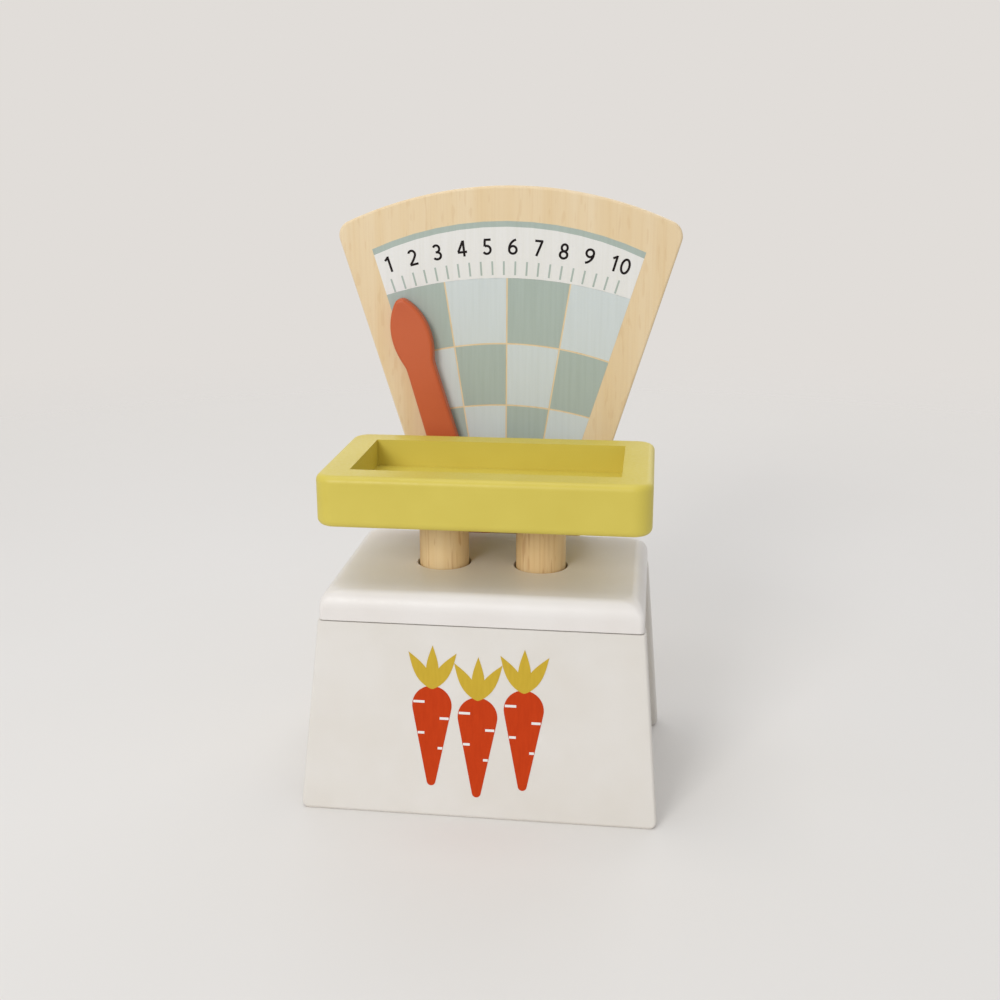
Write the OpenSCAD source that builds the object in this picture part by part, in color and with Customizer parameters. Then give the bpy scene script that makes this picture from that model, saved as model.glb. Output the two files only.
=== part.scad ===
// Toy weighing scale with a press-down tray and a fan-shaped dial.
// The origin is on the floor, under the middle of the whole object. +X is to the right of
// someone who faces the dial, +Y points to the back and +Z is up. Lengths are in millimetres.

/* [Box] */
// Width of the front and rear panels at the floor
base_w = 130; // [122:1:140]
// Width of the front and rear panels under the lid
base_top_w = 118; // [112:1:122]
// Height of the panels from the floor to the lid
base_h = 70; // [66:1:80]
// Depth from the front panel's foot to the rear panel's inner face
base_d = 84; // [80:1:100]
// How far the front panel leans back over its height
front_lean = 11; // [4:0.5:14]
// Thickness of the box panels, measured along the depth or the width
panel_t = 8; // [6:0.5:9]
// Radius of the eased edges of the front and rear panels
panel_edge_r = 1.2; // [0.5:0.1:2]
// Radius of the lower corners of the front and rear panels
panel_corner_r = 2.5; // [1.5:0.5:4]
// Distance that the side panels are set in from the edges of the front and rear panels
side_inset = 4; // [2.5:0.5:7]
// Height and width of the cleats that hold the bottom panel
cleat_size = 10; // [8:0.5:14]

/* [Lid] */
// Thickness of the lid
lid_t = 11; // [9:0.5:14]
// How far the lid stands back from the panels' top edge on each side
lid_step = 0.5; // [0:0.1:2]
// Radius of the lid's rounded top edges
lid_edge_r = 5; // [2:0.5:6]
// Radius of the lid's corners seen from above
lid_corner_r = 2; // [1:0.5:10]
// Height of the seam between the front panel and the lid
lid_seam = 0.4; // [0.2:0.1:0.8]
// Gap round each dowel in the lid
lid_hole_gap = 0.9; // [0.6:0.1:2]

/* [Tray] */
// Width of the tray
tray_w = 120; // [100:1:140]
// Depth of the tray
tray_d = 69.6; // [60:0.1:72]
// Height of the tray's rim
tray_h = 19; // [15:0.5:24]
// Thickness of the rim
tray_rim = 11.2; // [9:0.1:14]
// Depth of the recess
tray_recess = 10.5; // [7:0.5:11]
// Radius of the tray's corners seen from above
tray_corner_r = 7; // [4:0.5:9]
// Radius of the tray's rounded outer edges
tray_edge_r = 2.5; // [0.5:0.5:3]
// Gap between the lid and the tray when nothing lies on it
tray_lift = 22.5; // [20:0.5:30]
// How far the tray goes down
tray_travel = 12; // [8:0.5:14]

/* [Dowels and crossbar] */
// Diameter of the two dowels that carry the tray
dowel_d = 18.8; // [14:0.1:20]
// Distance between the dowels' centres
dowel_spacing = 37; // [32:0.5:46]
// How far the dowels stand in front of the middle of the lid
dowel_step = 1.8; // [0:0.1:3]
// Depth of the sockets that the dowels are glued into
dowel_seat = 5; // [3:0.5:6]
// Wall that the crossbar leaves round each dowel
crossbar_wall = 4; // [3:0.5:5]
// Height of the crossbar
crossbar_h = 12; // [10:0.5:14]
// Thickness of the slotted drive plate
drive_plate_t = 8; // [6:0.5:9]
// Width of the drive plate
drive_plate_w = 20; // [18:0.5:22]

/* [Springs] */
// Diameter of the spring wire
wire_d = 1.2; // [0.8:0.1:1.6]
// Diameter of the spring at the middle of its wire
coil_d = 13; // [11.5:0.5:15]
// Number of curls in each spring
curls = 7; // [5:1:9]
// Diameter of the posts inside the springs
post_d = 8; // [6:0.5:9]

/* [Dial board] */
// Height of the dial board's top above the floor
board_top = 219; // [205:1:235]
// Thickness of the dial board
board_t = 7; // [5:0.5:9]
// Radius of the board's curved top
board_arc_r = 158; // [140:1:180]
// Angle of each side edge from the vertical
board_flare = 17.2; // [16:0.1:19]
// Width of the board at its foot
board_foot_w = 17; // [14:0.5:20]
// Height of the board's foot above the floor
board_foot_z = 6; // [2:0.5:8]
// Radius of the board's top corners
board_corner_r = 6; // [4:0.5:10]
// Radius of the board's eased edges
board_edge_r = 1; // [0.5:0.1:2]
// Width of the slanting spacers behind the rear panel
spacer_w = 8; // [7:0.5:9]

/* [Pointer] */
// Thickness of the pointer
pointer_t = 6; // [4:0.5:8]
// Distance from the pivot to the widest place of the pointer's head
pointer_head_at = 136.5; // [120:0.5:140]
// Width of the pointer's head
pointer_head_w = 16.8; // [13:0.1:18]
// Length of the head's leaf shape, from point to point
pointer_head_len = 37.5; // [32:0.5:44]
// Length of the head's leaf shape above its widest place
pointer_tip_len = 16.5; // [14:0.5:20]
// Radius of the rounded tip
pointer_tip_r = 3; // [1:0.5:4]
// Width of the pointer's stem where it meets the head
pointer_stem_w = 11.5; // [8:0.1:12]
// Width of the pointer's stem at the pivot
pointer_root_w = 14.5; // [12:0.1:15]
// Radius of the pointer's eased edges
pointer_edge_r = 1.4; // [0.5:0.1:2]
// Radius of the pointer's hub
pointer_hub_r = 9; // [7:0.5:10]
// Angle that the pointer leans to the left when the tray is empty
pointer_rest = 16.1; // [12:0.1:16.5]
// Height of the pivot above the floor
pivot_z = 30; // [29.5:0.5:34]

/* [Pivot] */
// Diameter of the pointer's shaft
shaft_d = 6; // [5:0.5:7]
// Radial running clearance of the shaft in its two bearings
shaft_play = 0.05; // [0.02:0.01:0.1]
// Thickness of the crank inside the box
crank_t = 6; // [5:0.5:8]
// Diameter of the crank's peg
peg_d = 5; // [4:0.5:6]
// Thickness of the washers on the shaft
washer_t = 0.9; // [0.5:0.1:1.5]
// Diameter of the washers
washer_d = 14; // [12:0.5:16]
// Height of the domed cap on the end of the shaft
cap_h = 3.8; // [3:0.1:5]
// Diameter of the domed cap
cap_d = 13; // [11:0.5:15]

/* [Screws] */
// Diameter of the wood screws' shanks
screw_d = 3.5; // [3:0.1:4]
// Diameter of the screws' countersunk heads
screw_head_d = 7; // [6:0.1:8]
// Height of the countersunk heads
screw_head_h = 2.2; // [1.8:0.1:2.6]
// Length of the screws in the dial board
dial_screw_len = 20; // [18:0.5:21]
// Length of the screws in the bottom panel
bottom_screw_len = 16; // [13:0.5:17]
// Length of the screws under the dowels
dowel_screw_len = 26; // [20:1:32]
// Length of the screws in the drive plate
plate_screw_len = 18; // [15:0.5:19]

/* [Hidden] */
$fn = 96;

// Small gaps that the pieces share
cut = 1;              // overrun of every cut past the face that it opens
fit_gap = 0.05;       // radial gap of glued and screwed round pieces
panel_gap = 0.1;      // gap between the bottom panel and the walls round it
stop_gap = 0.3;       // gap that a moving piece keeps from the stop that it rests on
washer_play = 0.05;   // gap on each side of a washer
washer_hole_gap = 0.2; // radial gap of a washer round the shaft
peg_gap = 0.2;        // gap above and below the peg in its slot
slot_end_gap = 0.8;   // spare length at each end of the peg's slot
cap_gap = 0.2;        // gap between the cap and the back of the dial board
head_sink = 0.2;      // depth of a screw head under the face that it lies in
spacer_gap = 5;       // height of the slanting spacers' feet above the pointer's hub
lower_gap = 1;        // gap between the lower spacer and the pointer's hub

// Places along the depth
pointer_gap = pointer_t + 2 * (washer_t + 2 * washer_play);
overall_d = base_d + panel_t + pointer_gap + board_t + cap_gap + cap_h;
front_y = -overall_d / 2;
rear_inner_y = front_y + base_d;
rear_outer_y = rear_inner_y + panel_t;
board_front_y = rear_outer_y + pointer_gap;
board_back_y = board_front_y + board_t;
lid_front_y = front_y + front_lean;
lid_d = rear_outer_y - lid_front_y;
lid_mid_y = lid_front_y + lid_d / 2;
dowel_y = lid_mid_y - dowel_step;
pointer_y = rear_outer_y + washer_t + 2 * washer_play;
crank_back_y = rear_inner_y - washer_t - 2 * washer_play;
crank_front_y = crank_back_y - crank_t;

// Places along the height
lid_top = base_h + lid_t;
tray_z = lid_top + tray_lift;
tray_floor_t = tray_h - tray_recess;
crossbar_top = base_h - stop_gap;
crossbar_z = crossbar_top - crossbar_h;
post_top = crossbar_z - tray_travel - stop_gap;

// The walls lean in by this much for each millimetre of height
taper = (base_w - base_top_w) / 2 / base_h;
lean = front_lean / base_h;
side_low_x = base_w / 2 - side_inset;
side_high_x = base_top_w / 2 - side_inset;
foot_sides = 32;

// Tray recess
recess_w = tray_w - 2 * tray_rim;
recess_d = tray_d - 2 * tray_rim;

// The crank turns the pointer from its rest lean to the same lean on the other side
crank_r = tray_travel / 2 / sin(pointer_rest);
peg_x = crank_r * cos(pointer_rest);
peg_z = pivot_z + crank_r * sin(pointer_rest);
crank_hub_r = 8;
crank_end_r = 5.5;
crossbar_d = dowel_d + 2 * crossbar_wall;
crossbar_w = dowel_spacing + dowel_d + 2 * crossbar_wall;
plate_front_y = dowel_y + crossbar_d / 2;
plate_back_y = plate_front_y + drive_plate_t;
plate_foot = 7;
plate_screw_spacing = 12;
plate_screw_z = crossbar_z + screw_head_d / 2;

// Dial board outline: two straight sides, one large arc and a rounded corner at each end of it
flare = tan(board_flare);
fan_apex_z = board_foot_z - board_foot_w / 2 / flare;
arc_mid_z = board_top - board_arc_r;
corner_apex = fan_apex_z + board_corner_r / sin(board_flare) - arc_mid_z;
corner_reach = board_arc_r - board_corner_r;
corner_turn = asin(corner_apex * sin(board_flare) / corner_reach);
corner_angle = board_flare - corner_turn;
corner_x = corner_reach * sin(corner_angle);
corner_z = arc_mid_z + corner_reach * cos(corner_angle);
arc_steps = 24;
corner_steps = 8;
ease_steps = 3;

// Half the width of the dial board at one height
function board_half(z) = board_foot_w / 2 + (z - board_foot_z) * flare;

// Spacers between the rear panel and the dial board
spacer_foot_z = pivot_z + pointer_hub_r + spacer_gap;
lower_spacer_top = pivot_z - pointer_hub_r - lower_gap;
spacer_screw_shares = [0.2, 0.8];
spacer_screw_zs = [for (s = spacer_screw_shares) spacer_foot_z + s * (base_h - spacer_foot_z)];
lower_screw_z = (board_foot_z + lower_spacer_top) / 2;
dial_screw_places = concat(
    [for (z = spacer_screw_zs) for (side = [-1, 1]) [side * (board_half(z) - spacer_w / 2), z]],
    [[0, lower_screw_z]]
);

// Bottom panel and its cleats
bottom_front_y = front_y + panel_t;
cleat_front_share = 0.18;
cleat_y = bottom_front_y + cleat_front_share * base_d;
cleat_len = rear_inner_y - panel_gap - cleat_y;
cleat_screw_shares = [0.2, 0.8];
function wall_inner_x(z) = side_low_x - panel_t - z * taper;
cleat_screw_x = wall_inner_x(panel_t) - cleat_size / 2;

// Springs: a straight end, the curls and a straight end
post_seat = panel_t / 2;
spring_low = panel_t;
spring_high = crossbar_z - stop_gap;
wire_sides = 6;
rings_per_curl = 8;
rings = curls * rings_per_curl;

// Pointer head: a leaf with one arc on each side of its tip, a flatter one below its widest place
// and a rounded tip
leaf_w = pointer_head_w / 2;
tail_len = pointer_head_len - pointer_tip_len;
function leaf_r(len) = (len * len + leaf_w * leaf_w) / (2 * leaf_w);
tip_arc_r = leaf_r(pointer_tip_len);
tail_arc_r = leaf_r(tail_len);
tip_off = tip_arc_r - leaf_w;
tail_off = tail_arc_r - leaf_w;
tip_at = sqrt(pow(tip_arc_r - pointer_tip_r, 2) - pow(tip_off, 2));
tip_turn = acos(tip_off / (tip_arc_r - pointer_tip_r));
neck_turn = acos((pointer_stem_w / 2 + tail_off) / tail_arc_r);
neck_at = pointer_head_at - tail_arc_r * sin(neck_turn);
stem_end_w = pointer_root_w - (pointer_root_w - pointer_stem_w) * pointer_head_at / neck_at;
leaf_steps = 10;
tip_steps = 6;
hub_sides = 48;

paint_white = [0.93, 0.91, 0.88];
paint_lime = [0.80, 0.76, 0.28];
paint_terracotta = [0.79, 0.35, 0.20];
beech = [0.90, 0.76, 0.54];
ply = [0.84, 0.72, 0.52];
steel = [0.72, 0.72, 0.74];

// Extrudes a profile of depth and height along the width
module along_x(length) {
    rotate([90, 0, 90])
        linear_extrude(length, center = true)
            children();
}

// Extrudes a profile of width and height along the depth
module along_y(from_y, to_y) {
    translate([0, to_y, 0])
        rotate([90, 0, 0])
            linear_extrude(to_y - from_y)
                children();
}

// A small ball whose axis lies along the depth, with a point at each end of it
module ease_ball(r) {
    turns = [for (i = [1 - ease_steps:ease_steps - 1]) 90 * i / ease_steps];
    rotate([90, 0, 0])
        rotate_extrude($fn = 4 * ease_steps)
            polygon(concat([[0, -r]], [for (turn = turns) r * [cos(turn), sin(turn)]], [[0, r]]));
}

// Extrudes a profile along the depth and eases all its edges
module eased_along_y(from_y, to_y, r) {
    minkowski() {
        along_y(from_y + r, to_y - r)
            offset(delta = -r)
                children();
        ease_ball(r);
    }
}

// A round bar along the depth
module bar_y(x, z, d, from_y, to_y) {
    translate([x, to_y, z])
        rotate([90, 0, 0])
            cylinder(d = d, h = to_y - from_y);
}

// A rectangle that stands on its lower edge, with rounded upper and lower corners
module soft_profile(w, h, top_r, low_r) {
    translate([-w / 2, low_r])
        square([w, h - top_r - low_r]);
    translate([-w / 2 + top_r, h - top_r])
        square([w - 2 * top_r, top_r]);
    for (side = [-1, 1])
        translate([side * (w / 2 - top_r), h - top_r])
            circle(r = top_r);
    if (low_r > 0) {
        translate([-w / 2 + low_r, 0])
            square([w - 2 * low_r, low_r]);
        for (side = [-1, 1])
            translate([side * (w / 2 - low_r), low_r])
                circle(r = low_r);
    }
}

// A block whose rounded upper edges meet in mitres, with round corners seen from above
module mitred_block(w, d, h, corner_r, top_r) {
    intersection() {
        along_x(w)
            soft_profile(d, h, top_r, 0);
        along_y(-d / 2, d / 2)
            soft_profile(w, h, top_r, 0);
        linear_extrude(h)
            round_plan(w, d, corner_r);
    }
}

// A rectangle round the origin with round corners
module round_plan(w, d, r) {
    square([w, d - 2 * r], center = true);
    square([w - 2 * r, d], center = true);
    for (sx = [-1, 1])
        for (sy = [-1, 1])
            translate([sx * (w / 2 - r), sy * (d / 2 - r)])
                circle(r = r);
}

// A block with round corners seen from above and rounded upper and lower edges
module soft_block(w, d, h, corner_r, top_r, low_r) {
    along_x(w - 2 * corner_r)
        soft_profile(d, h, top_r, low_r);
    along_y(-d / 2 + corner_r, d / 2 - corner_r)
        soft_profile(w, h, top_r, low_r);
    for (sx = [-1, 1])
        for (sy = [-1, 1])
            translate([sx * (w / 2 - corner_r), sy * (d / 2 - corner_r), 0])
                rotate_extrude()
                    intersection() {
                        soft_profile(2 * corner_r, h, top_r, low_r);
                        square([corner_r, h]);
                    }
}

// A wood screw with a countersunk head, which points up from its head
module screw(length) {
    cylinder(d1 = screw_head_d, d2 = screw_d, h = screw_head_h);
    translate([0, 0, screw_head_h])
        cylinder(d = screw_d, h = length - screw_head_h);
}

// The hole for such a screw, sunk under the face and longer than the screw by one overrun
module screw_hole(length) {
    translate([0, 0, -cut])
        cylinder(d = screw_head_d + 2 * fit_gap, h = cut + head_sink);
    translate([0, 0, head_sink])
        cylinder(d1 = screw_head_d + 2 * fit_gap, d2 = screw_d + 2 * fit_gap, h = screw_head_h);
    translate([0, 0, head_sink])
        cylinder(d = screw_d + 2 * fit_gap, h = length + cut);
}

// Turns a screw so that it points forward from the back of the dial board
module at_dial_screw(place) {
    translate([place[0], board_back_y, place[1]])
        rotate([90, 0, 0])
            children();
}

module dial_screw_holes() {
    for (place = dial_screw_places)
        at_dial_screw(place)
            screw_hole(dial_screw_len);
}

// Trapezium of the front and rear panels in their own plane, with round lower corners. It is longer than
// the panel at its top.
module panel_outline(angle) {
    high = base_h / cos(angle) + panel_t;
    high_x = base_w / 2 - high * cos(angle) * taper;
    offset(r = panel_corner_r, $fn = foot_sides)
        offset(delta = -panel_corner_r)
            polygon([[-base_w / 2, 0], [base_w / 2, 0], [high_x, high], [-high_x, high]]);
}

// A tapered panel that leans back by an angle. Its edges are eased, its foot and its top cut level.
module tapered_panel(foot_y, angle, top_z) {
    intersection() {
        translate([0, foot_y, 0])
            rotate([-angle, 0, 0])
                eased_along_y(0, panel_t * cos(angle), panel_edge_r)
                    panel_outline(angle);
        translate([-base_w / 2, foot_y, 0])
            cube([base_w, panel_t + base_h * tan(angle), top_z]);
    }
}

module front_panel() {
    color(paint_white)
        tapered_panel(front_y, atan(lean), base_h - lid_seam);
}

module rear_panel() {
    color(paint_white)
        difference() {
            tapered_panel(rear_inner_y, 0, base_h);
            bar_y(0, pivot_z, shaft_d + 2 * shaft_play, rear_inner_y - cut, rear_outer_y + cut);
            dial_screw_holes();
        }
}

// A side wall that follows the taper and meets the leaning back of the front panel
module side_panel(side) {
    color(paint_white)
        intersection() {
            along_y(bottom_front_y, rear_inner_y)
                polygon([
                    [side * side_low_x, 0],
                    [side * (side_low_x - panel_t), 0],
                    [side * (side_high_x - panel_t), base_h],
                    [side * side_high_x, base_h]
                ]);
            along_x(base_w)
                polygon([
                    [bottom_front_y, 0],
                    [rear_inner_y, 0],
                    [rear_inner_y, base_h],
                    [bottom_front_y + front_lean, base_h]
                ]);
        }
}

module left_side_panel() {
    side_panel(-1);
}

module right_side_panel() {
    side_panel(1);
}

module lid() {
    color(paint_white)
        difference() {
            translate([0, lid_mid_y, base_h])
                mitred_block(base_top_w - 2 * lid_step, lid_d, lid_t, lid_corner_r, lid_edge_r);
            for (side = [-1, 1])
                translate([side * dowel_spacing / 2, dowel_y, base_h - cut])
                    cylinder(d = dowel_d + 2 * lid_hole_gap, h = lid_t + 2 * cut);
        }
}

module at_bottom_screws() {
    for (side = [-1, 1])
        for (s = cleat_screw_shares)
            translate([side * cleat_screw_x, cleat_y + s * cleat_len, 0])
                children();
}

// The bottom panel closes the box from below, flush with the walls
module bottom_panel() {
    low_x = wall_inner_x(0) - panel_gap;
    high_x = wall_inner_x(panel_t) - panel_gap;
    low_y = bottom_front_y + panel_gap;
    color(ply)
        difference() {
            intersection() {
                along_y(low_y, rear_inner_y - panel_gap)
                    polygon([
                        [-low_x, 0],
                        [low_x, 0],
                        [high_x, panel_t],
                        [-high_x, panel_t]
                    ]);
                along_x(base_w)
                    polygon([
                        [low_y, 0],
                        [rear_inner_y, 0],
                        [rear_inner_y, panel_t],
                        [low_y + panel_t * lean, panel_t]
                    ]);
            }
            at_bottom_screws()
                screw_hole(bottom_screw_len);
            for (side = [-1, 1])
                translate([side * dowel_spacing / 2, dowel_y, panel_t - post_seat])
                    cylinder(d = post_d + 2 * fit_gap, h = post_seat + cut);
        }
}

// A strip glued to a side wall, which takes the screws of the bottom panel
module cleat(side) {
    low_x = wall_inner_x(panel_t);
    high_x = wall_inner_x(panel_t + cleat_size);
    color(ply)
        difference() {
            along_y(cleat_y, cleat_y + cleat_len)
                polygon([
                    [side * low_x, panel_t],
                    [side * high_x, panel_t + cleat_size],
                    [side * (low_x - cleat_size), panel_t + cleat_size],
                    [side * (low_x - cleat_size), panel_t]
                ]);
            at_bottom_screws()
                screw_hole(bottom_screw_len);
        }
}

module left_cleat() {
    cleat(-1);
}

module right_cleat() {
    cleat(1);
}

module bottom_screws() {
    color(steel)
        at_bottom_screws()
            translate([0, 0, head_sink])
                screw(bottom_screw_len);
}

// A post glued into the bottom panel, which keeps its spring upright and stops the tray
module spring_post(side) {
    color(beech)
        translate([side * dowel_spacing / 2, dowel_y, panel_t - post_seat])
            cylinder(d = post_d, h = post_top - panel_t + post_seat);
}

module left_spring_post() {
    spring_post(-1);
}

module right_spring_post() {
    spring_post(1);
}

// Middle line of a spring: the wire comes straight up, winds round and ends straight up
function coil_point(i) =
    let (turn = 360 * i / rings_per_curl)
    let (climb = spring_high - spring_low - 2 * wire_d)
    [coil_d / 2 * cos(turn), coil_d / 2 * sin(turn), spring_low + wire_d + climb * i / rings];
function spring_path() = concat(
    [[coil_d / 2, 0, spring_low]],
    [for (i = [0:rings]) coil_point(i)],
    [[coil_point(rings)[0], coil_point(rings)[1], spring_high]]
);
path = spring_path();
last_ring = len(path) - 1;
function unit(v) = v / norm(v);
function path_way(i) =
    i == 0 || i == last_ring
        ? [0, 0, 1]
        : unit(unit(path[i + 1] - path[i]) + unit(path[i] - path[i - 1]));
function ring_point(i, k) =
    let (out = unit([path[i][0], path[i][1], 0]))
    let (side = unit(cross(path_way(i), out)))
    let (outward = cross(side, path_way(i)))
    let (turn = 360 * k / wire_sides)
    path[i] + wire_d / 2 * (cos(turn) * outward + sin(turn) * side);

module spring(side) {
    points = [for (i = [0:last_ring]) for (k = [0:wire_sides - 1]) ring_point(i, k)];
    walls = [
        for (i = [0:last_ring - 1])
            for (k = [0:wire_sides - 1])
                let (a = i * wire_sides + k)
                let (b = i * wire_sides + (k + 1) % wire_sides)
                each [[a, a + wire_sides, b], [b, a + wire_sides, b + wire_sides]]
    ];
    first_end = [for (k = [1:wire_sides - 2]) [0, k, k + 1]];
    last_start = last_ring * wire_sides;
    last_end = [for (k = [1:wire_sides - 2]) [last_start, last_start + k + 1, last_start + k]];
    color(steel)
        translate([side * dowel_spacing / 2, dowel_y, 0])
            polyhedron(points, concat(walls, first_end, last_end));
}

module left_spring() {
    spring(-1);
}

module right_spring() {
    spring(1);
}

// Least gap between two stretches of a spring that are half a curl or more apart along the wire
spring_gaps = [
    for (i = [0:last_ring])
        for (j = [i + rings_per_curl / 2:1:last_ring])
            norm(path[i] - path[j]) - wire_d
];
echo(least_gap_in_spring = min(spring_gaps));

// Points on an arc, with angles counted from the vertical towards the right
function arc_points(mid, r, from, to, steps) = [
    for (i = [0:steps])
        let (turn = from + (to - from) * i / steps)
        mid + r * [sin(turn), cos(turn)]
];

function after_first(list) = [for (i = [1:len(list) - 1]) list[i]];

// Outline of the dial board: the left corner, the curved top, the right corner and the foot
module board_outline() {
    side_turn = 90 + board_flare;
    top = arc_points([0, arc_mid_z], board_arc_r, -corner_angle, corner_angle, arc_steps);
    polygon(concat(
        arc_points([-corner_x, corner_z], board_corner_r, -side_turn, -corner_angle, corner_steps),
        [for (i = [1:arc_steps - 1]) top[i]],
        arc_points([corner_x, corner_z], board_corner_r, corner_angle, side_turn, corner_steps),
        [[board_foot_w / 2, board_foot_z], [-board_foot_w / 2, board_foot_z]]
    ));
}

module dial_board() {
    color(beech)
        difference() {
            eased_along_y(board_front_y, board_back_y, board_edge_r)
                board_outline();
            bar_y(0, pivot_z, shaft_d + 2 * shaft_play, board_front_y - cut, board_back_y + cut);
            dial_screw_holes();
        }
}

// A strip along one edge of the dial board, clear of the swinging pointer
module spacer(side) {
    low_x = board_half(spacer_foot_z);
    high_x = board_half(base_h);
    color(ply)
        difference() {
            along_y(rear_outer_y, board_front_y)
                polygon([
                    [side * (low_x - spacer_w), spacer_foot_z],
                    [side * low_x, spacer_foot_z],
                    [side * high_x, base_h],
                    [side * (high_x - spacer_w), base_h]
                ]);
            dial_screw_holes();
        }
}

module left_spacer() {
    spacer(-1);
}

module right_spacer() {
    spacer(1);
}

module lower_spacer() {
    low_x = board_half(board_foot_z);
    high_x = board_half(lower_spacer_top);
    color(ply)
        difference() {
            along_y(rear_outer_y, board_front_y)
                polygon([
                    [-low_x, board_foot_z],
                    [low_x, board_foot_z],
                    [high_x, lower_spacer_top],
                    [-high_x, lower_spacer_top]
                ]);
            dial_screw_holes();
        }
}

module dial_screws() {
    color(steel)
        for (place = dial_screw_places)
            at_dial_screw(place)
                translate([0, 0, head_sink])
                    screw(dial_screw_len);
}

// Washers on both sides of the pointer and behind the crank
module shaft_washers() {
    color(steel)
        for (y = [crank_back_y, rear_outer_y, pointer_y + pointer_t])
            difference() {
                bar_y(0, pivot_z, washer_d, y + washer_play, y + washer_play + washer_t);
                bar_y(0, pivot_z, shaft_d + 2 * washer_hole_gap, y - cut, y + washer_t + cut);
            }
}

// The whole tray's outer form, which the rails share
module tray_form() {
    translate([0, dowel_y, tray_z])
        soft_block(tray_w, tray_d, tray_h, tray_corner_r, tray_edge_r, tray_edge_r);
}

// A long rail at the front or the back of the tray
module long_rail(side) {
    near_y = recess_d / 2;
    color(paint_lime)
        intersection() {
            tray_form();
            translate([-tray_w / 2, dowel_y + (side > 0 ? near_y : -tray_d / 2), tray_z])
                cube([tray_w, tray_rim, tray_h]);
        }
}

// A short rail between the long ones
module short_rail(side) {
    color(paint_lime)
        intersection() {
            tray_form();
            translate([side > 0 ? recess_w / 2 : -tray_w / 2, dowel_y - recess_d / 2, tray_z])
                cube([tray_rim, recess_d, tray_h]);
        }
}

module tray_front_rail() {
    long_rail(-1);
}

module tray_rear_rail() {
    long_rail(1);
}

module tray_left_rail() {
    short_rail(-1);
}

module tray_right_rail() {
    short_rail(1);
}

module tray_floor() {
    color(paint_lime)
        difference() {
            translate([-recess_w / 2, dowel_y - recess_d / 2, tray_z])
                cube([recess_w, recess_d, tray_floor_t]);
            for (side = [-1, 1])
                translate([side * dowel_spacing / 2, dowel_y, tray_z - cut])
                    cylinder(d = dowel_d + 2 * fit_gap, h = dowel_seat + cut);
        }
}

module at_dowel_screws() {
    for (side = [-1, 1])
        translate([side * dowel_spacing / 2, dowel_y, crossbar_z])
            children();
}

// A dowel from its socket in the crossbar to its socket in the tray
module dowel(side) {
    low_z = crossbar_top - dowel_seat;
    color(beech)
        difference() {
            translate([side * dowel_spacing / 2, dowel_y, low_z])
                cylinder(d = dowel_d, h = tray_z + dowel_seat - low_z);
            at_dowel_screws()
                screw_hole(dowel_screw_len);
        }
}

module left_dowel() {
    dowel(-1);
}

module right_dowel() {
    dowel(1);
}

// Turns a screw so that it points forward from the back of the drive plate
module at_plate_screws() {
    for (side = [-1, 1])
        translate([peg_x + side * plate_screw_spacing / 2, plate_back_y, plate_screw_z])
            rotate([90, 0, 0])
                children();
}

module crossbar() {
    color(ply)
        difference() {
            translate([-crossbar_w / 2, dowel_y - crossbar_d / 2, crossbar_z])
                cube([crossbar_w, crossbar_d, crossbar_h]);
            for (side = [-1, 1])
                translate([side * dowel_spacing / 2, dowel_y, crossbar_top - dowel_seat])
                    cylinder(d = dowel_d + 2 * fit_gap, h = dowel_seat + cut);
            at_dowel_screws()
                screw_hole(dowel_screw_len);
            at_plate_screws()
                screw_hole(plate_screw_len);
        }
}

module dowel_screws() {
    color(steel)
        at_dowel_screws()
            translate([0, 0, head_sink])
                screw(dowel_screw_len);
}

// A plate that hangs behind the crossbar and takes the crank's peg in a level slot
module drive_plate() {
    slot_h = peg_d + 2 * peg_gap;
    slot_run = crank_r - peg_x + 2 * slot_end_gap;
    slot_x = (crank_r + peg_x) / 2;
    low_z = peg_z - peg_d / 2 - plate_foot;
    color(ply)
        difference() {
            translate([peg_x - drive_plate_w / 2, plate_front_y, low_z])
                cube([drive_plate_w, drive_plate_t, crossbar_top - low_z]);
            for (end = [-1, 1])
                bar_y(slot_x + end * slot_run / 2, peg_z, slot_h, plate_front_y - cut, plate_back_y + cut);
            translate([slot_x - slot_run / 2, plate_front_y - cut, peg_z - slot_h / 2])
                cube([slot_run, drive_plate_t + 2 * cut, slot_h]);
            at_plate_screws()
                screw_hole(plate_screw_len);
        }
}

module plate_screws() {
    color(steel)
        at_plate_screws()
            translate([0, 0, head_sink])
                screw(plate_screw_len);
}

// Stem of the pointer seen from the front, upright, with its pivot at the origin. It ends inside the head.
module stem_outline() {
    polygon([
        [-pointer_root_w / 2, 0],
        [pointer_root_w / 2, 0],
        [stem_end_w / 2, pointer_head_at],
        [-stem_end_w / 2, pointer_head_at]
    ]);
}

// Leaf-shaped head above the same pivot, from the right of its neck over its tip to the left
module head_outline() {
    half = concat(
        arc_points([-tail_off, pointer_head_at], tail_arc_r, 90 + neck_turn, 90, leaf_steps),
        after_first(arc_points([-tip_off, pointer_head_at], tip_arc_r, 90, 90 - tip_turn, leaf_steps)),
        after_first(arc_points([0, pointer_head_at + tip_at], pointer_tip_r, 90 - tip_turn, 0, tip_steps))
    );
    polygon(concat(half, [for (i = [len(half) - 2:-1:0]) [-half[i][0], half[i][1]]]));
}

module pointer() {
    color(paint_terracotta)
        translate([0, 0, pivot_z])
            rotate([0, -pointer_rest, 0])
                difference() {
                    union() {
                        eased_along_y(pointer_y, pointer_y + pointer_t, pointer_edge_r)
                            circle(r = pointer_hub_r, $fn = hub_sides);
                        eased_along_y(pointer_y, pointer_y + pointer_t, pointer_edge_r)
                            stem_outline();
                        eased_along_y(pointer_y, pointer_y + pointer_t, pointer_edge_r)
                            head_outline();
                    }
                    bar_y(0, 0, shaft_d + 2 * fit_gap, pointer_y - cut, pointer_y + pointer_t + cut);
                }
}

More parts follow.
